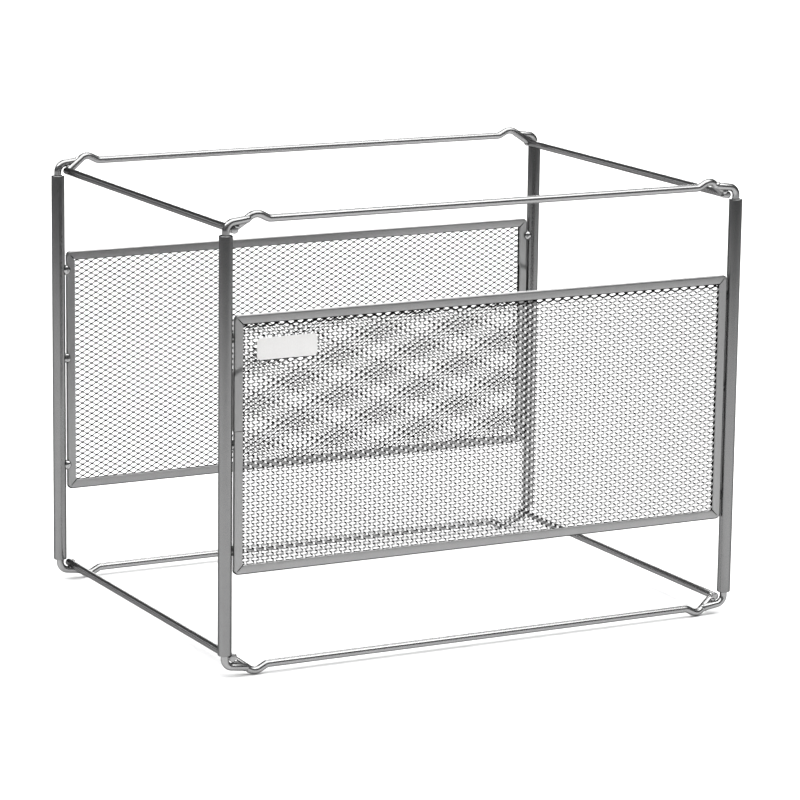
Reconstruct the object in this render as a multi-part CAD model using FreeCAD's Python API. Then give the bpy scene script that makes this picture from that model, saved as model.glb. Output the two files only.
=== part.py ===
import FreeCAD, Part
import math
import os

from FreeCAD import Vector

# Desktop hanging-file frame: two welded wire rings plug into the open ends of four
# tube posts. The front and the back pair of posts each carry a mesh panel.
# X runs along the long rails, -Y is the front with the label, +Z is up.
# The origin lies under the middle of the frame, level with the lowest point of the feet.

# Overall layout
POST_SPAN_X = 318.0
POST_SPAN_Y = 230.0
POST_BOTTOM_Z = 12.56
POST_LENGTH = 229.5
POST_TOP_Z = POST_BOTTOM_Z + POST_LENGTH
POST_MIDDLE_Z = POST_BOTTOM_Z + POST_LENGTH / 2
HALF_X = POST_SPAN_X / 2
HALF_Y = POST_SPAN_Y / 2

# Tube and wire stock
POST_OD = 7.6
POST_ID = 4.9
POST_DEBURR = 0.25
WIRE_DIA = 4.2
PRONG_INSERT = 25.0
PRONG_TIP_CHAMFER = 0.5

# Ring corner. "In" is the distance from the post axis along X, "out" is the distance
# beyond the end of the post, and "inward" is the distance from the post plane along Y.
RAIL_OUT = 7.6
RAIL_START_IN = 25.2
HUMP_IN = 17.6
HUMP_OUT = 11.5
HUMP_RADIUS = 6.0
FLANK_RADIUS = 5.0
SIDE_RAIL_IN = 5.3
SIDE_RAIL_OUT = 2.45
LEG_INWARD = 3.0
ARM_OUT = 6.35
ARM_SLOPE = 0.13
ARM_END_IN = 16.5
ELBOW_RADIUS = 5.0

# Panel frame: one folded channel strip, open towards the window
PANEL_HALF_X = 154.2
PANEL_HEIGHT = 142.1
PANEL_ABOVE_POST_MIDDLE = {-1: 0.45, 1: -1.4}
PANEL_DEPTH = 2.8
PANEL_SHEET = 0.6
PANEL_FLANGE = 5.2
PANEL_CORNER_RADIUS = 3.0
PANEL_EDGE_RADIUS = 0.8
MITRE_WIDTH = 0.5
MITRE_STOP = 1.4
SEAM_BELOW_TOP = 63.0
SEAM_WIDTH = 0.4

# Mesh sheet inside the channel, as thick as the metal of the mesh spread out evenly
MESH_THICKNESS = 0.24

# Weld beads on the inner side, in the notch between a panel frame and its post
BEAD_RADIUS = 2.2
BEAD_OUTSIDE_FRAME = 0.4
BEAD_INWARD = 1.7
SEAM_SIDE_BEADS_ABOVE_MIDDLE = (59.0, 0.5, -57.5)
PLAIN_SIDE_BEADS_ABOVE_MIDDLE = (59.0, 6.5, -57.5)

# Blank label plate
LABEL_WIDTH = 36.0
LABEL_HEIGHT = 12.0
LABEL_THICKNESS = 1.1
LABEL_CORNER_RADIUS = 2.5
LABEL_FROM_SIDE = 8.0
LABEL_FROM_TOP = 8.0

SIDES_X = {"left": -1, "right": 1}
SIDES_Y = {"front": -1, "back": 1}


def one_solid(shape):
    """Return the single solid of a shape."""
    solids = shape.Solids
    if len(solids) != 1:
        raise ValueError("expected one solid, got %d" % len(solids))
    return solids[0]


def rounded_path(points, radii):
    """Wire of lines and arcs through a polyline whose inner corners are rounded."""
    edges = []
    start = points[0]
    for corner, following, previous, radius in zip(points[1:-1], points[2:], points, radii):
        back = (previous - corner).normalize()
        ahead = (following - corner).normalize()
        half_angle = back.getAngle(ahead) / 2
        trim = radius / math.tan(half_angle)
        bisector = (back + ahead).normalize()
        arc_start = corner + back * trim
        arc_end = corner + ahead * trim
        arc_middle = corner + bisector * (radius / math.sin(half_angle) - radius)
        edges.append(Part.LineSegment(start, arc_start).toShape())
        edges.append(Part.Arc(arc_start, arc_middle, arc_end).toShape())
        start = arc_end
    edges.append(Part.LineSegment(start, points[-1]).toShape())
    return Part.Wire(edges)


def bent_wire(points, radii):
    """Solid round wire that follows a polyline with rounded corners."""
    path = rounded_path(points, radii)
    direction = points[1] - points[0]
    section = Part.Face(Part.Wire(Part.makeCircle(WIRE_DIA / 2, points[0], direction)))
    return one_solid(path.makePipe(section))


def ring_point(ring, side_x, side_y, inset, inward, out):
    """Point near a ring corner, measured from the post axis and the end of the post."""
    end_z = POST_TOP_Z if ring > 0 else POST_BOTTOM_Z
    return Vector(side_x * (HALF_X - inset), side_y * (HALF_Y - inward), end_z + ring * out)


def side_rail(ring, side_x):
    """Straight wire between the front and the back post planes."""
    start = ring_point(ring, side_x, -1, SIDE_RAIL_IN, 0, SIDE_RAIL_OUT)
    return Part.makeCylinder(WIRE_DIA / 2, POST_SPAN_Y, start, Vector(0, 1, 0))


def long_rail(ring, side_y, side_rails):
    """Long wire with a hump and a leg at each end, cut to meet the side rails."""
    half = [
        (SIDE_RAIL_IN, LEG_INWARD, SIDE_RAIL_OUT),
        (HUMP_IN, 0, HUMP_OUT),
        (RAIL_START_IN, 0, RAIL_OUT),
    ]
    points = [ring_point(ring, -1, side_y, *place) for place in half]
    points += [ring_point(ring, 1, side_y, *place) for place in reversed(half)]
    wire = bent_wire(points, [HUMP_RADIUS, FLANK_RADIUS, FLANK_RADIUS, HUMP_RADIUS])
    for rail in side_rails:
        wire = wire.cut(rail)
    return one_solid(wire)


def prong(ring, side_x, side_y, rail):
    """Wire that fills the post end, bends over and meets the flank of the hump."""
    arm_end_out = ARM_OUT + ARM_SLOPE * ARM_END_IN
    points = [
        ring_point(ring, side_x, side_y, 0, 0, -PRONG_INSERT),
        ring_point(ring, side_x, side_y, 0, 0, ARM_OUT),
        ring_point(ring, side_x, side_y, ARM_END_IN, 0, arm_end_out),
    ]
    wire = bent_wire(points, [ELBOW_RADIUS])
    tip = [edge for edge in wire.Edges
           if edge.isClosed() and abs(edge.CenterOfMass.z - points[0].z) < 0.01]
    wire = wire.makeChamfer(PRONG_TIP_CHAMFER, tip)
    return one_solid(wire.cut(rail))


def post(side_x, side_y):
    """Open tube with lightly deburred ends."""
    base = Vector(side_x * HALF_X, side_y * HALF_Y, POST_BOTTOM_Z)
    tube = Part.makeCylinder(POST_OD / 2, POST_LENGTH, base)
    rims = [edge for edge in tube.Edges if edge.isClosed()]
    tube = tube.makeChamfer(POST_DEBURR, rims)
    return one_solid(tube.cut(Part.makeCylinder(POST_ID / 2, POST_LENGTH, base)))


def plate(half_x, bottom_z, top_z, front_y, depth, radius):
    """Upright plate with rounded corners, as seen from the front."""
    block = Part.makeBox(2 * half_x, depth, top_z - bottom_z, Vector(-half_x, front_y, bottom_z))
    if radius <= 0:
        return block
    corners = [edge for edge in block.Edges if abs(edge.BoundBox.YLength - depth) < 0.01]
    return block.makeFillet(radius, corners)


def panel_front_y(side_y):
    """Y of the front face of a panel frame, which is centred on its posts."""
    return side_y * HALF_Y - PANEL_DEPTH / 2


def panel_end_z(side_y, side_z):
    """Height of the lower (-1) or upper (1) edge of a panel frame."""
    middle_z = POST_MIDDLE_Z + PANEL_ABOVE_POST_MIDDLE[side_y]
    return middle_z + side_z * PANEL_HEIGHT / 2


def inset_plate(side_y, inset, front_y, depth, radius):
    """Plate that lies a given distance inside the outline of a panel frame."""
    return plate(PANEL_HALF_X - inset, panel_end_z(side_y, -1) + inset,
                 panel_end_z(side_y, 1) - inset, front_y, depth, radius)


def panel_blank(side_y):
    """Outer volume of a panel frame with rounded corners and folded edges."""
    front_y = panel_front_y(side_y)
    blank = inset_plate(side_y, 0, front_y, PANEL_DEPTH, PANEL_CORNER_RADIUS)
    faces_y = (front_y, front_y + PANEL_DEPTH)
    folds = [edge for edge in blank.Edges
             if edge.BoundBox.YLength < 0.01
             and min(abs(edge.BoundBox.YMin - face_y) for face_y in faces_y) < 0.01]
    return blank.makeFillet(PANEL_EDGE_RADIUS, folds)


def mitre_slit(side_x, side_y, side_z):
    """Diagonal slit through both flanges at one corner of the panel frame."""
    reach = PANEL_FLANGE + MITRE_WIDTH
    length = (reach - MITRE_STOP) * math.sqrt(2)
    slit = Part.makeBox(length, PANEL_DEPTH, MITRE_WIDTH, Vector(0, 0, -MITRE_WIDTH / 2))
    angle = math.degrees(math.atan2(-side_z, -side_x))
    slit.rotate(Vector(0, 0, 0), Vector(0, -1, 0), angle)
    slit.translate(Vector(side_x * (PANEL_HALF_X - MITRE_STOP), panel_front_y(side_y),
                          panel_end_z(side_y, side_z) - side_z * MITRE_STOP))
    return slit


def panel_frame(side_y):
    """Channel strip folded round the window, with mitred flanges and a butt seam.

    The back frame is the front one turned half way round, so the seams are at opposite ends,
    and it is welded a little lower on its posts.
    """
    front_y = panel_front_y(side_y)
    window = inset_plate(side_y, PANEL_FLANGE, front_y, PANEL_DEPTH, 0)
    channel_depth = PANEL_DEPTH - 2 * PANEL_SHEET
    channel = inset_plate(side_y, PANEL_SHEET, front_y + PANEL_SHEET, channel_depth,
                          PANEL_CORNER_RADIUS - PANEL_SHEET)
    frame = panel_blank(side_y).cut(window).cut(channel)
    for side_x in (-1, 1):
        for side_z in (-1, 1):
            frame = frame.cut(mitre_slit(side_x, side_y, side_z))
    seam_z = panel_end_z(side_y, 1) - SEAM_BELOW_TOP
    seam_x = side_y * (PANEL_HALF_X - PANEL_FLANGE / 2) - PANEL_FLANGE / 2
    seam = Part.makeBox(PANEL_FLANGE, PANEL_DEPTH, SEAM_WIDTH,
                        Vector(seam_x, front_y, seam_z - SEAM_WIDTH / 2))
    return one_solid(frame.cut(seam))


def mesh_front_y(side_y):
    """Y of the front face of a mesh sheet, half way into the channel."""
    return panel_front_y(side_y) + (PANEL_DEPTH - MESH_THICKNESS) / 2


def mesh_sheet(side_y):
    """Sheet that stands for the expanded mesh and ends on the web of the channel."""
    return inset_plate(side_y, PANEL_SHEET, mesh_front_y(side_y), MESH_THICKNESS,
                       PANEL_CORNER_RADIUS - PANEL_SHEET)


def weld_beads(side_x, side_y):
    """Three weld beads in the notch between a panel frame and its post."""
    frame = panel_blank(side_y)
    rod = Part.makeCylinder(POST_OD / 2, POST_LENGTH,
                            Vector(side_x * HALF_X, side_y * HALF_Y, POST_BOTTOM_Z))
    rises = PLAIN_SIDE_BEADS_ABOVE_MIDDLE
    if side_x == side_y:
        rises = SEAM_SIDE_BEADS_ABOVE_MIDDLE
    beads = []
    for rise in rises:
        centre = Vector(side_x * (PANEL_HALF_X + BEAD_OUTSIDE_FRAME),
                        side_y * (HALF_Y - BEAD_INWARD), POST_MIDDLE_Z + rise)
        bead = Part.makeSphere(BEAD_RADIUS, centre)
        beads.append(one_solid(bead.cut(rod).cut(frame)))
    return Part.makeCompound(beads)


def label_plate():
    """Blank plate fixed to the front of the front mesh, in its upper left corner."""
    half = LABEL_WIDTH / 2
    top_z = panel_end_z(-1, 1) - PANEL_FLANGE - LABEL_FROM_TOP
    label = plate(half, top_z - LABEL_HEIGHT, top_z, mesh_front_y(-1) - LABEL_THICKNESS,
                  LABEL_THICKNESS, LABEL_CORNER_RADIUS)
    label.translate(Vector(-PANEL_HALF_X + PANEL_FLANGE + LABEL_FROM_SIDE + half, 0, 0))
    return label


def build_ring(ring, ring_name, side_rail_kind):
    """All wires of one ring."""
    nodes = {}
    for name_x, side_x in SIDES_X.items():
        nodes["%s_%s_%s" % (ring_name, name_x, side_rail_kind)] = side_rail(ring, side_x)
    side_rails = list(nodes.values())
    for name_y, side_y in SIDES_Y.items():
        rail = long_rail(ring, side_y, side_rails)
        nodes["%s_%s_rail" % (ring_name, name_y)] = rail
        for name_x, side_x in SIDES_X.items():
            name = "%s_%s_%s_prong" % (ring_name, name_y, name_x)
            nodes[name] = prong(ring, side_x, side_y, rail)
    return nodes


def build_panel(name_y, side_y):
    """Two posts with the panel frame, the mesh and the weld beads between them."""
    nodes = {
        "%s_panel_frame" % name_y: panel_frame(side_y),
        "%s_mesh" % name_y: mesh_sheet(side_y),
    }
    for name_x, side_x in SIDES_X.items():
        nodes["%s_%s_post" % (name_y, name_x)] = post(side_x, side_y)
        nodes["%s_%s_welds" % (name_y, name_x)] = weld_beads(side_x, side_y)
    return nodes


def main():
    """Build every node and write one STEP file for each."""
    nodes = {}
    nodes.update(build_ring(-1, "bottom", "side_rail"))
    nodes.update(build_panel("front", -1))
    nodes.update(build_panel("back", 1))
    nodes.update(build_ring(1, "top", "file_rail"))
    nodes["label_plate"] = label_plate()

    os.makedirs("parts", exist_ok=True)
    for name, shape in nodes.items():
        shape.exportStep("parts/%s.step" % name)


main()
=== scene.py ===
import math

import bmesh
import bpy
from mathutils import Euler, Matrix, Vector, noise


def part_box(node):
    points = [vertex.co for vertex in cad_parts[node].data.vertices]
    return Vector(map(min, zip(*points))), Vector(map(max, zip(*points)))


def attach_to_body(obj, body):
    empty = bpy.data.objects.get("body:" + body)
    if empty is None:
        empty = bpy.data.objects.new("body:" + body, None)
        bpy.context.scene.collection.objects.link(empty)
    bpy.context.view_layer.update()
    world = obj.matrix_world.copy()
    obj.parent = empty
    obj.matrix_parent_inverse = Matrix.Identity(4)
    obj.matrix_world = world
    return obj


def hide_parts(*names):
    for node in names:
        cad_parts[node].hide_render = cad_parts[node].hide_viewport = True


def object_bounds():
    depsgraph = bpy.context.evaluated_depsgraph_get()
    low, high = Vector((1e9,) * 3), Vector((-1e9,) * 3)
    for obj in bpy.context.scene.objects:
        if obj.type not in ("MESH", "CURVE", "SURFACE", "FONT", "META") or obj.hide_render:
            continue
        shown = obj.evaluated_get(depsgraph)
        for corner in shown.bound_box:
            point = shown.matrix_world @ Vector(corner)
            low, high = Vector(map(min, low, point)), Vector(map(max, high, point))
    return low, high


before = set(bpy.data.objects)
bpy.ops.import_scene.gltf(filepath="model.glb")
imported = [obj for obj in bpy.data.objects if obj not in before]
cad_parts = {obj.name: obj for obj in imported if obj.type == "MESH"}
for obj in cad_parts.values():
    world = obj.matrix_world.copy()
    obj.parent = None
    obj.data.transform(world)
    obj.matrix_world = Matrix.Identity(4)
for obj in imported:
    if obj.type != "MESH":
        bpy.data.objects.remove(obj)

# Desktop hanging-file frame: visible wires, tubes, panels, mesh, welds and label.
# Every length is in metres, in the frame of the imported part.

REST_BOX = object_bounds()
MM = 0.001

SIDES_X = {"left": -1, "right": 1}
SIDES_Y = {"front": -1, "back": 1}
RINGS = {"bottom": -1, "top": 1}
SIDE_RAIL_KIND = {"bottom": "side_rail", "top": "file_rail"}

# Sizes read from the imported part
RAIL_LOW, RAIL_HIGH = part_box("top_left_file_rail")
POST_LOW, POST_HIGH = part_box("front_right_post")
PANEL_LOW, PANEL_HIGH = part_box("front_panel_frame")
BACK_PANEL_LOW, BACK_PANEL_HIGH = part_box("back_panel_frame")
LABEL_LOW, LABEL_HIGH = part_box("label_plate")
WIRE_RADIUS = (RAIL_HIGH.z - RAIL_LOW.z) / 2
POST_RADIUS = (POST_HIGH.x - POST_LOW.x) / 2
HALF_X = (POST_HIGH.x + POST_LOW.x) / 2
HALF_Y = -(POST_HIGH.y + POST_LOW.y) / 2
POST_BOTTOM_Z = POST_LOW.z
POST_TOP_Z = POST_HIGH.z
PANEL_HALF_X = PANEL_HIGH.x
PANEL_BOTTOM_Z = {"front": PANEL_LOW.z, "back": BACK_PANEL_LOW.z}
PANEL_TOP_Z = {"front": PANEL_HIGH.z, "back": BACK_PANEL_HIGH.z}
PANEL_HALF_DEPTH = (PANEL_HIGH.y - PANEL_LOW.y) / 2

# Tubes
POST_BORE_RADIUS = 2.45 * MM
POST_DEBURR = 0.25 * MM
POST_RIM_RADIUS = 0.6 * MM
POST_RIM_STEPS = 6
POST_SIDES = 48

# Ring corner. "In" is the distance from the post axis along X, "out" is the distance
# beyond the end of the post, and "inward" is the distance from the post plane along Y.
RAIL_OUT = 7.6 * MM
RAIL_START_IN = 25.2 * MM
HUMP_IN = 17.6 * MM
HUMP_OUT = 11.5 * MM
HUMP_RADIUS = 6.0 * MM
FLANK_RADIUS = 5.0 * MM
SIDE_RAIL_IN = 5.3 * MM
SIDE_RAIL_OUT = 2.45 * MM
LEG_INWARD = 3.0 * MM
ARM_OUT = 6.35 * MM
ARM_SLOPE = 0.13
ARM_END_IN = 13.6 * MM
ELBOW_RADIUS = 5.0 * MM
PRONG_INSERT = 25.0 * MM

# Rounded edges of the cut wire ends, and how finely the wires are divided
SIDE_RAIL_BEVEL = 0.25 * MM
LONG_RAIL_BEVEL = 0.3 * MM
PRONG_BEVEL = 0.5 * MM
WIRE_SIDES = 28
SIDE_RAIL_PIECES = 12
BEND_STEPS = 10
ELBOW_STEPS = 16

# Weld lumps of a ring corner: place as (in, inward, out), then half sizes. The first covers
# the end of the arm. The other two lie beyond and short of the end of the leg.
RING_WELDS = (
    ((ARM_END_IN - 0.9 * MM, 0.2 * MM, ARM_OUT + ARM_SLOPE * ARM_END_IN + 0.1 * MM),
     (2.3 * MM, 2.15 * MM, 2.1 * MM)),
    ((SIDE_RAIL_IN + 1.3 * MM, LEG_INWARD - 1.6 * MM, SIDE_RAIL_OUT + 1.9 * MM),
     (2.0 * MM, 1.9 * MM, 1.6 * MM)),
    ((SIDE_RAIL_IN + 1.6 * MM, LEG_INWARD - 0.6 * MM, SIDE_RAIL_OUT - 0.6 * MM),
     (1.4 * MM, 1.9 * MM, 1.3 * MM)),
)
RING_WELD_TURN = math.radians(35)

# Weld beads of a panel. The rises are measured from the middle of the posts, on the plain
# side (False) and on the side with the seam (True). The shape is in bead radii.
BEAD_RISES = {False: (59.0 * MM, 6.5 * MM, -57.5 * MM), True: (59.0 * MM, 0.5 * MM, -57.5 * MM)}
BEAD_OUTSIDE_FRAME = 0.5 * MM
BEAD_INWARD = 1.7 * MM
BEAD_SHAPE = (1.1, 0.95, 1.3)

# Unevenness of weld metal: depth and scale of the wobble, and seed step per letter of a name
WOBBLE_DEPTH = 0.18
WOBBLE_SCALE = 1.3
WOBBLE_SEED_STEP = 0.37

# Panel frame section and corners
SHEET = 0.6 * MM
FLANGE = 5.2 * MM
FOLD_RADIUS = 0.80 * MM
EDGE_RADIUS = 0.55 * MM
FOLD_STEPS = 5
CORNER_RADIUS = 2.8 * MM
CORNER_REACH = FLANGE + 2 * MM
CORNER_STAGES = 6
MITRE_STOP = 1.5 * MM
MITRE_GAP = 0.40 * MM

# Butt seam of the panel frame, where the strip laps over its own end
SEAM_BELOW_TOP = 63.0 * MM
SEAM_GAP = 0.4 * MM
LAP_START = 30.0 * MM
LAP_RAMP = 2.5 * MM
LAP_GROWTH = 0.35 * MM
LAP_LEAN = 0.5
LAP_STATIONS = [LAP_START - 4 * MM + step * MM for step in range(9)]
LAP_STATIONS += [SEAM_BELOW_TOP - 4 * MM, SEAM_BELOW_TOP - SEAM_GAP / 2]

# Raised expanded mesh. The front strands look wider and steeper than the back ones.
MESH_PITCH_X = {"front": 5.88 * MM, "back": 5.95 * MM}
MESH_PITCH_Z = {"front": 3.43 * MM, "back": 3.37 * MM}
STRAND_WIDTH = {"front": 0.98 * MM, "back": 0.56 * MM}
STRAND_THICKNESS = {"front": 0.48 * MM, "back": 0.40 * MM}
STRAND_TILT = {"front": math.radians(40), "back": math.radians(20)}
BOND_LENGTH = 1.1 * MM
MESH_EDGE_GAP = 0.9 * MM

# Label plate
LABEL_CORNER_RADIUS = 2.5 * MM
LABEL_CORNER_STEPS = 8
LABEL_EDGE = 0.25 * MM
LABEL_DEPTH = 0.62 * MM

# Points closer than this are merged, and edges steeper than this stay sharp
MERGE_DISTANCE = 1e-7
SHARP_ANGLE = math.radians(38)

# Camera, at the photograph's viewing angle
CAMERA_PLACE = Vector((-0.9799, -1.8698, 0.5657))
CAMERA_TURN = Euler((math.radians(78.007), math.radians(-0.7286), math.radians(-27.662)))
CAMERA_LENS = 167.5
CAMERA_SENSOR = 36.0
CAMERA_CLIP_END = 60.0

# Soft lights: place, point aimed at, size, power in watts, spread in degrees
LIGHTS = {
    "overhead_light": ((0.2, -0.7, 2.2), (0.2, -0.2, 0), (4.0, 2.8), 47, 100),
    "backdrop_light": ((1.3, 2.3, 2.9), (1.35, 2.5, 0), (2.0, 2.0), 66, 120),
    "front_light": ((0.92, -1.0, 1.8), (0.3, -0.5, 0), (0.8, 0.8), 1.6, 80),
    "left_light": ((-1.9, 0.3, 2.3), (-0.1, 0.0, 0), (1.2, 1.2), 14, 100),
    "right_horizon_light": ((2.1, 3.8, 0.95), (0, 0, 0.2), (1.6, 1.1), 36, 120),
    "left_horizon_light": ((-1.7, 3.2, 1.0), (0, 0, 0.1), (0.6, 0.5), 1.5, 120),
}
WORLD_COLOUR = (0.62, 0.63, 0.65, 1)
WORLD_STRENGTH = 0.12

# Floor
FLOOR_HALF = 14.0
FLOOR_DROP = 0.2 * MM


# ---------------------------------------------------------------- mesh helpers

def link_object(name, data):
    """Scene object for a mesh, a light or a camera."""
    item = bpy.data.objects.new(name, data)
    bpy.context.scene.collection.objects.link(item)
    return item


def plain_mesh(name, vertices, faces, materials):
    """Mesh made of the given vertices and faces as they are."""
    mesh = bpy.data.meshes.new(name)
    mesh.from_pydata([tuple(v) for v in vertices], [], faces)
    for material in materials:
        mesh.materials.append(material)
    return mesh


def attach(piece, body, node=None):
    """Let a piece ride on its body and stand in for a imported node, where it has one."""
    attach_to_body(piece, body)
    if node:
        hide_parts(node)


def add_piece(name, mesh, body, node=None):
    """Merge, orient and shade a mesh, then attach it to its body."""
    shell = bmesh.new()
    shell.from_mesh(mesh)
    bmesh.ops.remove_doubles(shell, verts=shell.verts, dist=MERGE_DISTANCE)
    bmesh.ops.recalc_face_normals(shell, faces=shell.faces)
    shell.to_mesh(mesh)
    shell.free()
    mesh.shade_smooth()
    mesh.set_sharp_from_angle(angle=SHARP_ANGLE)
    attach(link_object(name, mesh), body, node)


def rounded_path(corners, radii, steps):
    """Points along a polyline whose inner corners are rounded by arcs."""
    path = [corners[0]]
    for before, corner, after, radius in zip(corners, corners[1:], corners[2:], radii):
        back = (before - corner).normalized()
        ahead = (after - corner).normalized()
        half = back.angle(ahead) / 2
        bisector = (back + ahead).normalized()
        centre = corner + bisector * (radius / math.sin(half))
        start = corner + back * (radius / math.tan(half)) - centre
        turn = math.pi - 2 * half
        axis = start.cross(corner + ahead * (radius / math.tan(half)) - centre)
        for step in range(steps + 1):
            path.append(centre + Matrix.Rotation(turn * step / steps, 3, axis) @ start)
    path.append(corners[-1])
    return path


def sweep(path, rings, sides):
    """Vertices of round sections. Each ring is a path index, a shift along it and a radius."""
    tangents = [(b - a).normalized() for a, b in zip(path, path[1:])]
    tangents.append(tangents[-1])
    across = tangents[0].orthogonal().normalized()
    frames = []
    for index, tangent in enumerate(tangents):
        blended = (tangents[max(index - 1, 0)] + tangent).normalized()
        across = (across - blended * across.dot(blended)).normalized()
        frames.append((blended, across, blended.cross(across)))
    vertices = []
    for index, shift, radius in rings:
        along, right, up = frames[index]
        centre = path[index] + along * shift
        for side in range(sides):
            angle = 2 * math.pi * side / sides
            offset = right * math.cos(angle) + up * math.sin(angle)
            vertices.append(centre + offset * radius)
    return vertices


def bridge_rings(count, sides, closed=False):
    """Quads between successive rings, with end caps unless the rings form a loop."""
    faces = []
    for ring in range(count if closed else count - 1):
        following = (ring + 1) % count
        for side in range(sides):
            after = (side + 1) % sides
            faces.append((ring * sides + side, ring * sides + after,
                          following * sides + after, following * sides + side))
    if not closed:
        faces.append(tuple(range(sides))[::-1])
        faces.append(tuple(range((count - 1) * sides, count * sides)))
    return faces


# ---------------------------------------------------------------- materials

class Nodes:
    """New material, with helpers that add and link its shader nodes."""

    def __init__(self, name):
        self.material = bpy.data.materials.new(name)
        self.material.use_nodes = True
        self.tree = self.material.node_tree
        self.surface = self.tree.nodes["Principled BSDF"]

    def add(self, kind, inputs=None, **settings):
        """New node with some of its settings and inputs filled in."""
        node = self.tree.nodes.new(kind)
        for name, value in settings.items():
            setattr(node, name, value)
        for name, value in (inputs or {}).items():
            node.inputs[name].default_value = value
        return node

    def link(self, source, socket):
        """Connect an output to an input."""
        self.tree.links.new(source, socket)

    def set_surface(self, **values):
        """Fill in inputs of the surface that are the same all over."""
        for name, value in values.items():
            self.surface.inputs[name.replace("_", " ").title()].default_value = value

    def grain(self, scale, detail):
        """Noise from 0 to 1, fixed to the piece."""
        place = self.add("ShaderNodeTexCoord").outputs["Object"]
        node = self.add("ShaderNodeTexNoise", {"Scale": scale, "Detail": detail})
        self.link(place, node.inputs["Vector"])
        return node.outputs["Fac"]

    def ramp(self, source, stops):
        """Colour ramp with (position, colour) stops."""
        node = self.add("ShaderNodeValToRGB")
        first, last = node.color_ramp.elements
        first.position, first.color = stops[0]
        last.position, last.color = stops[-1]
        for position, colour in stops[1:-1]:
            node.color_ramp.elements.new(position).color = colour
        self.link(source, node.inputs["Fac"])
        return node.outputs["Color"]

    def multiply(self, first, second):
        """Product of two colours."""
        node = self.add("ShaderNodeMix", {"Factor": 1.0}, data_type="RGBA", blend_type="MULTIPLY")
        self.link(first, node.inputs[6])
        self.link(second, node.inputs[7])
        return node.outputs[2]

    def bump(self, height, strength, distance):
        """Fine relief of the surface."""
        node = self.add("ShaderNodeBump", {"Strength": strength, "Distance": distance})
        self.link(height, node.inputs["Height"])
        self.link(node.outputs["Normal"], self.surface.inputs["Normal"])


def grey(level, warmth=0.0):
    """Opaque grey, slightly warm or cool."""
    return (level * (1 + warmth), level, level * (1 - warmth), 1)


def grazing_flake_and_painted_shade(nodes, grazing_share):
    """Darkening towards shallow viewing angles, where the given share is left: partly the real
    darkening of flake paint, partly painted shade that draws dark outlines along silhouettes.
    """
    facing = nodes.add("ShaderNodeLayerWeight", {"Blend": 0.5}).outputs["Facing"]
    return nodes.ramp(facing, [(0.3, grey(1.0)), (0.55, grey((1 + grazing_share) / 2)), (0.8, grey(grazing_share)),
                               (1.0, grey(grazing_share / 2))])


def painted_underside_shade(nodes, share):
    """Painted shade on faces that look down, where the given share is left."""
    parts = nodes.add("ShaderNodeSeparateXYZ")
    nodes.link(nodes.add("ShaderNodeTexCoord").outputs["Normal"], parts.inputs["Vector"])
    rise = nodes.add("ShaderNodeMapRange", {"From Min": -0.30, "From Max": -0.06})
    nodes.link(parts.outputs["Z"], rise.inputs["Value"])
    return nodes.ramp(rise.outputs["Result"], [(0.0, grey(share)), (1.0, grey(1.0))])


def silver_paint(name, level, roughness, metallic, grazing_share, underside=1.0):
    """Satin aluminium paint: fine flake, mottling, orange peel, darkening at shallow angles that is
    partly the flake and partly painted shade, and where asked painted shade on faces that look down.
    """
    nodes = Nodes(name)
    flake = nodes.grain(scale=5200.0, detail=2.0)
    mottle = nodes.grain(scale=140.0, detail=4.0)
    peel = nodes.grain(scale=900.0, detail=2.0)
    fine = nodes.ramp(flake, [(0.3, grey(level * 0.9)), (0.7, grey(level * 1.1))])
    broad = nodes.ramp(mottle, [(0.3, grey(0.95)), (0.7, grey(1.0))])
    # Darker at shallow angles: partly the flake paint, partly painted shade for outlines.
    tint = nodes.multiply(nodes.multiply(fine, broad), grazing_flake_and_painted_shade(nodes, grazing_share))
    # Painted shade on faces that look down, for the frame and mesh paints.
    if underside < 1:
        tint = nodes.multiply(tint, painted_underside_shade(nodes, underside))
    nodes.link(tint, nodes.surface.inputs["Base Color"])
    spread = nodes.add("ShaderNodeMapRange", {"To Min": roughness * 0.9, "To Max": roughness * 1.1})
    nodes.link(mottle, spread.inputs["Value"])
    nodes.link(spread.outputs["Result"], nodes.surface.inputs["Roughness"])
    nodes.bump(peel, strength=0.12, distance=0.04 * MM)
    nodes.set_surface(metallic=metallic, specular_tint=grey(0.4))
    return nodes.material


def label_paint(name):
    """Smooth off-white lacquer with a faint grain."""
    nodes = Nodes(name)
    grain = nodes.grain(scale=1500.0, detail=3.0)
    tint = nodes.ramp(grain, [(0.3, grey(0.74, 0.01)), (0.7, grey(0.78, 0.01))])
    nodes.link(tint, nodes.surface.inputs["Base Color"])
    nodes.bump(grain, strength=0.08, distance=0.02 * MM)
    nodes.set_surface(roughness=0.3)
    return nodes.material


def floor_paper(name):
    """Pale matt studio paper."""
    nodes = Nodes(name)
    fibre = nodes.add("ShaderNodeTexNoise", {"Scale": 60.0, "Detail": 4.0})
    tint = nodes.ramp(fibre.outputs["Fac"], [(0.3, grey(0.86)), (0.7, grey(0.88))])
    nodes.link(tint, nodes.surface.inputs["Base Color"])
    nodes.set_surface(roughness=0.9)
    return nodes.material


# All parts carry one silver paint; its level differs by part as painted shade, with the tubes and the
# mesh set darkest.
WIRE_PAINT = silver_paint("wire_paint", level=0.31, roughness=0.24, metallic=0.90, grazing_share=0.30)
TUBE_PAINT = silver_paint("tube_paint", level=0.20, roughness=0.22, metallic=0.93, grazing_share=0.18)
# Painted shade: the frame paint is darkened to 4 per cent on faces that look down.
FRAME_PAINT = silver_paint("frame_paint", level=0.28, roughness=0.30, metallic=0.88, grazing_share=1.00,
                           underside=0.04)
# Painted shade: near-black paint for the inner faces and cut edges of the channel.
CHANNEL_SHADE_PAINT = silver_paint("painted_channel_shade", level=0.03, roughness=0.60, metallic=0.50, grazing_share=0.30)
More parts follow.
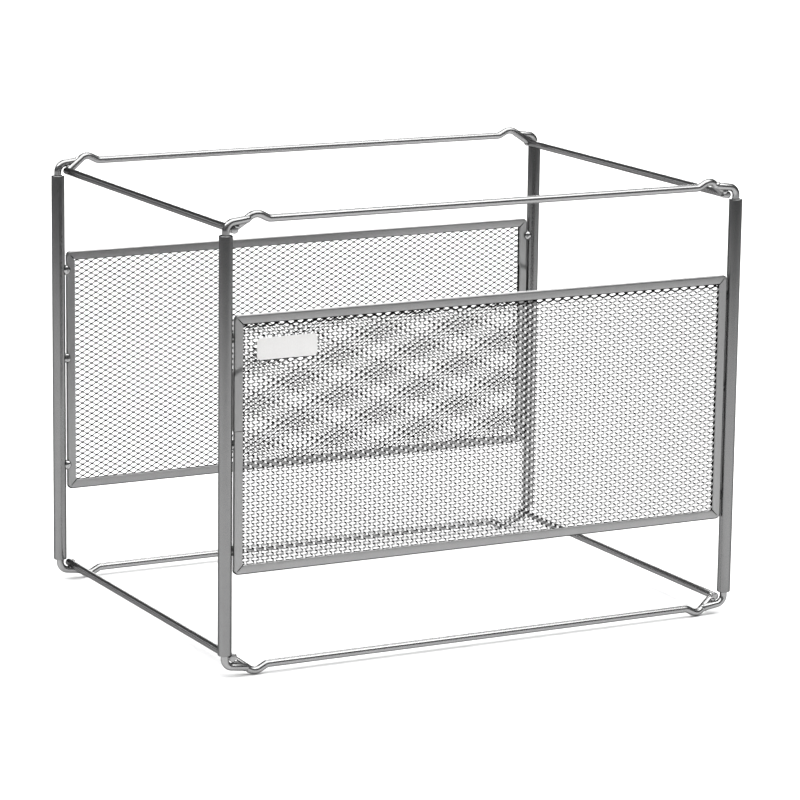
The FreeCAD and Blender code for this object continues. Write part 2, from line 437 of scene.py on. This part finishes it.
# Painted shade: the mesh paint is darkened to 5 per cent on faces that look down.
MESH_PAINT = silver_paint("mesh_paint", level=0.20, roughness=0.18, metallic=0.97, grazing_share=0.30,
                          underside=0.05)
WELD_PAINT = silver_paint("weld_paint", level=0.36, roughness=0.18, metallic=0.92, grazing_share=0.60)
LABEL_PAINT = label_paint("label_paint")


# ---------------------------------------------------------------- wire rings

def ring_point(ring, side_x, side_y, inset, inward, out):
    """Point near a ring corner, measured from the post axis and the end of the post."""
    end_z = POST_TOP_Z if ring > 0 else POST_BOTTOM_Z
    return Vector((side_x * (HALF_X - inset), side_y * (HALF_Y - inward), end_z + ring * out))


def add_wire(node, ring_name, path, bevel):
    """Round wire of a ring. Its cut ends have a small rounded edge."""
    last = len(path) - 1
    rings = [(0, 0, WIRE_RADIUS - bevel), (0, bevel * 0.3, WIRE_RADIUS - bevel * 0.3),
             (0, bevel, WIRE_RADIUS)]
    rings += [(index, 0, WIRE_RADIUS) for index in range(1, last)]
    rings += [(last, -bevel, WIRE_RADIUS), (last, -bevel * 0.3, WIRE_RADIUS - bevel * 0.3),
              (last, 0, WIRE_RADIUS - bevel)]
    vertices = sweep(path, rings, WIRE_SIDES)
    faces = bridge_rings(len(rings), WIRE_SIDES)
    mesh = plain_mesh(node + "_wire", vertices, faces, [WIRE_PAINT])
    add_piece(node + "_wire", mesh, ring_name + "_ring", node)


def build_side_rail(ring_name, name_x):
    """Straight wire with plain cut ends."""
    node = "%s_%s_%s" % (ring_name, name_x, SIDE_RAIL_KIND[ring_name])
    ring, side_x = RINGS[ring_name], SIDES_X[name_x]
    front, back = [ring_point(ring, side_x, side_y, SIDE_RAIL_IN, 0, SIDE_RAIL_OUT)
                   for side_y in (-1, 1)]
    path = [front.lerp(back, step / SIDE_RAIL_PIECES) for step in range(SIDE_RAIL_PIECES + 1)]
    add_wire(node, ring_name, path, SIDE_RAIL_BEVEL)


def build_long_rail(ring_name, name_y):
    """Long wire with a hump and a leg at each end."""
    node = "%s_%s_rail" % (ring_name, name_y)
    ring, side_y = RINGS[ring_name], SIDES_Y[name_y]
    half = [(SIDE_RAIL_IN, LEG_INWARD, SIDE_RAIL_OUT), (HUMP_IN, 0, HUMP_OUT),
            (RAIL_START_IN, 0, RAIL_OUT)]
    corners = [ring_point(ring, -1, side_y, *place) for place in half]
    corners += [ring_point(ring, 1, side_y, *place) for place in reversed(half)]
    path = rounded_path(corners, [HUMP_RADIUS, FLANK_RADIUS, FLANK_RADIUS, HUMP_RADIUS], BEND_STEPS)
    add_wire(node, ring_name, path, LONG_RAIL_BEVEL)


def build_prong(ring_name, name_x, name_y):
    """Wire that fills the post end, bends over and meets the flank of the hump."""
    node = "%s_%s_%s_prong" % (ring_name, name_y, name_x)
    ring, side_x, side_y = RINGS[ring_name], SIDES_X[name_x], SIDES_Y[name_y]
    corners = [ring_point(ring, side_x, side_y, 0, 0, -PRONG_INSERT),
               ring_point(ring, side_x, side_y, 0, 0, ARM_OUT),
               ring_point(ring, side_x, side_y, ARM_END_IN, 0, ARM_OUT + ARM_SLOPE * ARM_END_IN)]
    add_wire(node, ring_name, rounded_path(corners, [ELBOW_RADIUS], ELBOW_STEPS), PRONG_BEVEL)


# ---------------------------------------------------------------- weld metal

def add_lump(shell, centre, size, turn, seed):
    """Add an uneven rounded blob of weld metal to a bmesh."""
    made = bmesh.ops.create_icosphere(shell, subdivisions=3, radius=1.0)["verts"]
    for vertex in made:
        wobble = noise.noise(vertex.co * WOBBLE_SCALE + Vector((seed, 2 * seed, -seed)))
        point = vertex.co * (1 + WOBBLE_DEPTH * wobble)
        scaled = Vector((point.x * size[0], point.y * size[1], point.z * size[2]))
        vertex.co = centre + turn @ scaled


def add_weld_piece(name, lumps, body, node=None):
    """One piece made of several weld lumps."""
    shell = bmesh.new()
    for seed, (centre, size, turn) in enumerate(lumps):
        add_lump(shell, centre, size, turn, seed + WOBBLE_SEED_STEP * len(name))
    mesh = bpy.data.meshes.new(name)
    shell.to_mesh(mesh)
    shell.free()
    mesh.materials.append(WELD_PAINT)
    add_piece(name, mesh, body, node)


def build_ring_welds(ring_name):
    """Weld metal where arms meet humps and where legs meet the side rails."""
    ring = RINGS[ring_name]
    lumps = []
    for side_x in SIDES_X.values():
        for side_y in SIDES_Y.values():
            turn = Matrix.Rotation(-side_x * ring * RING_WELD_TURN, 3, "Y")
            for place, size in RING_WELDS:
                lumps.append((ring_point(ring, side_x, side_y, *place), size, turn))
    add_weld_piece(ring_name + "_ring_weld_metal", lumps, ring_name + "_ring")


def build_panel_welds(name_y, name_x):
    """Beads that join a panel frame to its post, on the inner side."""
    node = "%s_%s_welds" % (name_y, name_x)
    side_x, side_y = SIDES_X[name_x], SIDES_Y[name_y]
    low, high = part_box(node)
    bead = (high.y - low.y) / 2
    size = [share * bead for share in BEAD_SHAPE]
    middle_z = (POST_BOTTOM_Z + POST_TOP_Z) / 2
    lumps = []
    for rise in BEAD_RISES[side_x == side_y]:
        centre = Vector((side_x * (PANEL_HALF_X + BEAD_OUTSIDE_FRAME),
                         side_y * (HALF_Y - BEAD_INWARD), middle_z + rise))
        lumps.append((centre, size, Matrix.Identity(3)))
    add_weld_piece(node + "_metal", lumps, name_y + "_panel", node)


# ---------------------------------------------------------------- posts

def build_post(name_y, name_x):
    """Open tube with rounded rims."""
    node = "%s_%s_post" % (name_y, name_x)
    side_x, side_y = SIDES_X[name_x], SIDES_Y[name_y]
    outline = [(POST_BORE_RADIUS, POST_DEBURR), (POST_BORE_RADIUS + POST_DEBURR, 0)]
    for step in range(POST_RIM_STEPS + 1):
        angle = math.pi / 2 * step / POST_RIM_STEPS
        outline.append((POST_RADIUS - POST_RIM_RADIUS * (1 - math.sin(angle)),
                        POST_RIM_RADIUS * (1 - math.cos(angle))))
    length = POST_TOP_Z - POST_BOTTOM_Z
    outline += [(radius, length - height) for radius, height in reversed(outline)]
    vertices = []
    for radius, height in outline:
        for side in range(POST_SIDES):
            angle = 2 * math.pi * side / POST_SIDES
            vertices.append((side_x * HALF_X + radius * math.cos(angle),
                             side_y * HALF_Y + radius * math.sin(angle), POST_BOTTOM_Z + height))
    faces = bridge_rings(len(outline), POST_SIDES, closed=True)
    mesh = plain_mesh(node + "_tube", vertices, faces, [TUBE_PAINT])
    add_piece(node + "_tube", mesh, name_y + "_panel", node)


# ---------------------------------------------------------------- panel frames

def channel_section():
    """Matching outer and inner points (inset, offset) of the folded channel."""
    outer, inner = [], []
    half = PANEL_HALF_DEPTH
    bend = FOLD_RADIUS - SHEET
    quarter = [math.pi / 2 * step / FOLD_STEPS for step in range(FOLD_STEPS + 1)]
    for sign in (-1, 1):
        out_arc = [(FOLD_RADIUS * (1 - math.sin(a)), sign * (half - FOLD_RADIUS * (1 - math.cos(a))))
                   for a in quarter]
        in_arc = [(FOLD_RADIUS - bend * math.sin(a), sign * (half - FOLD_RADIUS + bend * math.cos(a)))
                  for a in quarter]
        flat_out = [(FLANGE - EDGE_RADIUS * (1 - math.cos(a)),
                     sign * (half - EDGE_RADIUS * (1 - math.sin(a)))) for a in quarter]
        flat_out += [(FLANGE / 2, sign * half), (MITRE_STOP, sign * half)]
        flat_in = [(inset, sign * (half - SHEET)) for inset, _ in flat_out]
        if sign < 0:
            outer += flat_out + out_arc
            inner += flat_in + in_arc
        else:
            outer += out_arc[::-1] + flat_out[::-1]
            inner += in_arc[::-1] + flat_in[::-1]
    return outer, inner


def corner_place(inset, stage):
    """(along, depth) of a section point as the strip turns from square to the mitre line."""
    if stage == 0:
        return CORNER_REACH, inset
    if inset < CORNER_RADIUS:
        turn = math.pi / 4 * (stage - 1) / (CORNER_STAGES - 1)
        arm = CORNER_RADIUS - inset
        along = CORNER_RADIUS - arm * math.sin(turn)
        depth = CORNER_RADIUS - arm * math.cos(turn)
    else:
        along = inset + (CORNER_REACH - inset) * (CORNER_STAGES - stage) / CORNER_STAGES
        depth = inset
    if stage == CORNER_STAGES and inset > MITRE_STOP + MERGE_DISTANCE:
        along += MITRE_GAP
    return along, depth


def lap_growth(along, inset):
    """How far the strip swells outwards where it laps over its own end."""
    start = LAP_START - LAP_LEAN * inset
    rise = min(max((along - start) / LAP_RAMP, 0), 1)
    fade = 1 if along < SEAM_BELOW_TOP - SEAM_GAP / 4 else 0
    return LAP_GROWTH * rise * fade


class ChannelStrip:
    """Folded channel round one panel, built from sections that follow each other.

    A station is one section of vertices, known by the index of its first vertex. The numbers of
    the faces on the inner side of the sheet and on its cut edges are kept apart: they get painted
    shade.
    """

    def __init__(self, name_y):
        outer, inner = channel_section()
        self.section = outer + inner[::-1]
        self.outer_count = len(outer)
        flat = sum(1 for inset, offset in outer if inset >= MITRE_STOP and offset < 0) - 1
        self.all_pairs = range(self.outer_count - 1)
        self.flange_pairs = [index for index in self.all_pairs
                             if min(index, self.outer_count - 2 - index) < flat]
        self.side_y = SIDES_Y[name_y]
        self.bottom_z = PANEL_BOTTOM_Z[name_y]
        self.top_z = PANEL_TOP_Z[name_y]
        self.vertices = []
        self.faces = []
        self.inside = []

    def point(self, side, along, inset, offset):
        """Frame point from bar coordinates. The back frame is turned half way round."""
        spots = {
            "bottom": (-PANEL_HALF_X + along, self.bottom_z + inset),
            "right": (PANEL_HALF_X - inset, self.bottom_z + along),
            "top": (PANEL_HALF_X - along, self.top_z - inset),
            "left": (-PANEL_HALF_X + inset, self.top_z - along),
        }
        x, z = spots[side]
        return (-self.side_y * x, self.side_y * HALF_Y - self.side_y * offset, z)

    def add_corner_station(self, side, length, stage, ending):
        """Add a section on the way from square (stage 0) to the mitre line."""
        first = len(self.vertices)
        for inset, offset in self.section:
            along, depth = corner_place(inset, stage)
            if ending:
                along = length - along
            self.vertices.append(self.point(side, along, depth, offset))
        return first

    def add_straight_station(self, side, along):
        """Add a square section, swollen where the strip laps over its own end."""
        first = len(self.vertices)
        for inset, offset in self.section:
            growth = lap_growth(along, inset)
            swell = growth * (-1 if offset < 0 else 1) * min(1, abs(offset) / (PANEL_HALF_DEPTH / 2))
            self.vertices.append(self.point(side, along, inset - growth, offset + swell))
        return first

    def join(self, run):
        """Quads between the successive stations of a run."""
        total = len(self.section)
        for first, second in zip(run, run[1:]):
            for index in range(total):
                after = (index + 1) % total
                # Faces on the inner side of the sheet are kept apart for the painted shade.
                if index >= self.outer_count - 1:
                    self.inside.append(len(self.faces))
                self.faces.append((first + index, first + after, second + after, second + index))

    def cap(self, first, pairs):
        """Close the cut sheet between matching outer and inner points."""
        last = 2 * self.outer_count - 1
        for index in pairs:
            # Cut edges are kept apart for the painted shade.
            self.inside.append(len(self.faces))
            self.faces.append((first + index, first + index + 1, first + last - index - 1,
                               first + last - index))

    def add_bar(self, side, length):
        """Add one bar between two mitres. The left bar has the lap and the seam."""
        stages = range(CORNER_STAGES + 1)
        run = [self.add_corner_station(side, length, stage, False) for stage in reversed(stages)]
        self.cap(run[0], self.flange_pairs)
        if side == "left":
            run += [self.add_straight_station(side, along) for along in LAP_STATIONS]
            self.cap(run[-1], self.all_pairs)
            self.join(run)
            run = [self.add_straight_station(side, SEAM_BELOW_TOP + SEAM_GAP / 2)]
            self.cap(run[0], self.all_pairs)
        run += [self.add_corner_station(side, length, stage, True) for stage in stages]
        self.cap(run[-1], self.flange_pairs)
        self.join(run)


def build_panel_frame(name_y):
    """Folded channel with mitred flanges, a bent web at each corner and one butt seam."""
    node = name_y + "_panel_frame"
    strip = ChannelStrip(name_y)
    width = 2 * PANEL_HALF_X
    height = strip.top_z - strip.bottom_z
    for side, length in (("bottom", width), ("right", height), ("top", width), ("left", height)):
        strip.add_bar(side, length)
    mesh = plain_mesh(node + "_strip", strip.vertices, strip.faces, [FRAME_PAINT, CHANNEL_SHADE_PAINT])
    # Inner faces and cut edges of the channel take the near-black paint, as painted shade.
    for index in strip.inside:
        mesh.polygons[index].material_index = 1
    add_piece(node + "_strip", mesh, name_y + "_panel", node)


# ---------------------------------------------------------------- expanded mesh

def build_mesh(name_y):
    """Raised expanded metal: zigzag strips that meet their neighbours at tilted bonds."""
    node = name_y + "_mesh"
    side_y = SIDES_Y[name_y]
    half_x = PANEL_HALF_X - MESH_EDGE_GAP
    width, tilt = STRAND_WIDTH[name_y], STRAND_TILT[name_y]
    low_z = PANEL_BOTTOM_Z[name_y] + MESH_EDGE_GAP + width
    high_z = PANEL_TOP_Z[name_y] - MESH_EDGE_GAP - width
    across = Vector((0, -side_y * math.sin(tilt), math.cos(tilt))) * (width / 2)
    through = Vector((0, side_y * math.cos(tilt), math.sin(tilt))) * (STRAND_THICKNESS[name_y] / 2)
    row_step = MESH_PITCH_Z[name_y] / 2
    bond_step = MESH_PITCH_X[name_y] / 2
    rows = int((high_z - low_z) / row_step)
    bonds = int(2 * half_x / bond_step)
    first_z = (low_z + high_z - rows * row_step) / 2
    first_x = -bonds * bond_step / 2
    strip_faces = bridge_rings(2 * (bonds + 1), 4)
    vertices, faces = [], []
    for row in range(rows):
        start = len(vertices)
        for bond in range(bonds + 1):
            upper = (bond + row) % 2
            height = first_z + (row + upper) * row_step
            centre = Vector((first_x + bond * bond_step, side_y * HALF_Y, height))
            centre += -across if upper else across
            for end in (-1, 1):
                spot = centre + Vector((end * BOND_LENGTH / 2, 0, 0))
                vertices += [spot - across - through, spot + across - through,
                             spot + across + through, spot - across + through]
        faces += [tuple(start + index for index in face) for face in strip_faces]
    mesh = plain_mesh(node + "_strands", vertices, faces, [MESH_PAINT])
    attach(link_object(node + "_strands", mesh), name_y + "_panel", node)


# ---------------------------------------------------------------- label plate

def build_label():
    """Blank plate with rounded corners and a soft front edge."""
    low, high = LABEL_LOW, LABEL_HIGH
    front = low.y
    layers = [(0, front + LABEL_DEPTH), (0, front + LABEL_EDGE),
              (LABEL_EDGE * 0.3, front + LABEL_EDGE * 0.3), (LABEL_EDGE, front)]
    corners = [(high.x, high.z, 0), (low.x, high.z, 1), (low.x, low.z, 2), (high.x, low.z, 3)]
    vertices = []
    for inset, depth in layers:
        reach = LABEL_CORNER_RADIUS - inset
        for x, z, quarter in corners:
            centre_x = x + (-1 if x == high.x else 1) * LABEL_CORNER_RADIUS
            centre_z = z + (-1 if z == high.z else 1) * LABEL_CORNER_RADIUS
            for step in range(LABEL_CORNER_STEPS + 1):
                angle = math.pi / 2 * (quarter + step / LABEL_CORNER_STEPS)
                vertices.append((centre_x + reach * math.cos(angle), depth,
                                 centre_z + reach * math.sin(angle)))
    faces = bridge_rings(len(layers), len(corners) * (LABEL_CORNER_STEPS + 1))
    mesh = plain_mesh("label_plate_face", vertices, faces, [LABEL_PAINT])
    add_piece("label_plate_face", mesh, "front_panel", "label_plate")


# ---------------------------------------------------------------- studio

def build_floor():
    """Large pale floor."""
    half = FLOOR_HALF
    corners = [(-half, -half, 0), (half, -half, 0), (half, half, 0), (-half, half, 0)]
    mesh = plain_mesh("floor", corners, [(0, 1, 2, 3)], [floor_paper("floor_paper")])
    floor = link_object("floor", mesh)
    floor.location.z = REST_BOX[0].z - FLOOR_DROP


def add_area_light(name, place, aim, size, power, spread):
    """Soft rectangular light aimed at a point."""
    light = bpy.data.lights.new(name, "AREA")
    light.shape = "RECTANGLE"
    light.size, light.size_y = size
    light.energy = power
    light.spread = math.radians(spread)
    lamp = link_object(name, light)
    lamp.location = place
    lamp.rotation_euler = (Vector(aim) - Vector(place)).to_track_quat("-Z", "Y").to_euler()


def build_camera():
    """Camera at the photograph's viewing angle."""
    camera = bpy.data.cameras.new("camera")
    camera.lens = CAMERA_LENS
    camera.sensor_width = CAMERA_SENSOR
    camera.clip_end = CAMERA_CLIP_END
    viewer = link_object("camera", camera)
    viewer.location = CAMERA_PLACE
    viewer.rotation_euler = CAMERA_TURN
    bpy.context.scene.camera = viewer


def build_surroundings():
    """Dim even surroundings and the soft lights."""
    world = bpy.data.worlds.new("studio")
    world.use_nodes = True
    surroundings = world.node_tree.nodes["Background"]
    surroundings.inputs["Color"].default_value = WORLD_COLOUR
    surroundings.inputs["Strength"].default_value = WORLD_STRENGTH
    bpy.context.scene.world = world
    for name, settings in LIGHTS.items():
        add_area_light(name, *settings)
    bpy.context.scene.view_settings.view_transform = "Standard"


# ---------------------------------------------------------------- assembly

for ring_name in RINGS:
    for name_x in SIDES_X:
        build_side_rail(ring_name, name_x)
        for name_y in SIDES_Y:
            build_prong(ring_name, name_x, name_y)
    for name_y in SIDES_Y:
        build_long_rail(ring_name, name_y)
    build_ring_welds(ring_name)

for name_y in SIDES_Y:
    for name_x in SIDES_X:
        build_post(name_y, name_x)
        build_panel_welds(name_y, name_x)
    build_panel_frame(name_y)
    build_mesh(name_y)

build_label()
build_floor()
build_camera()
build_surroundings()
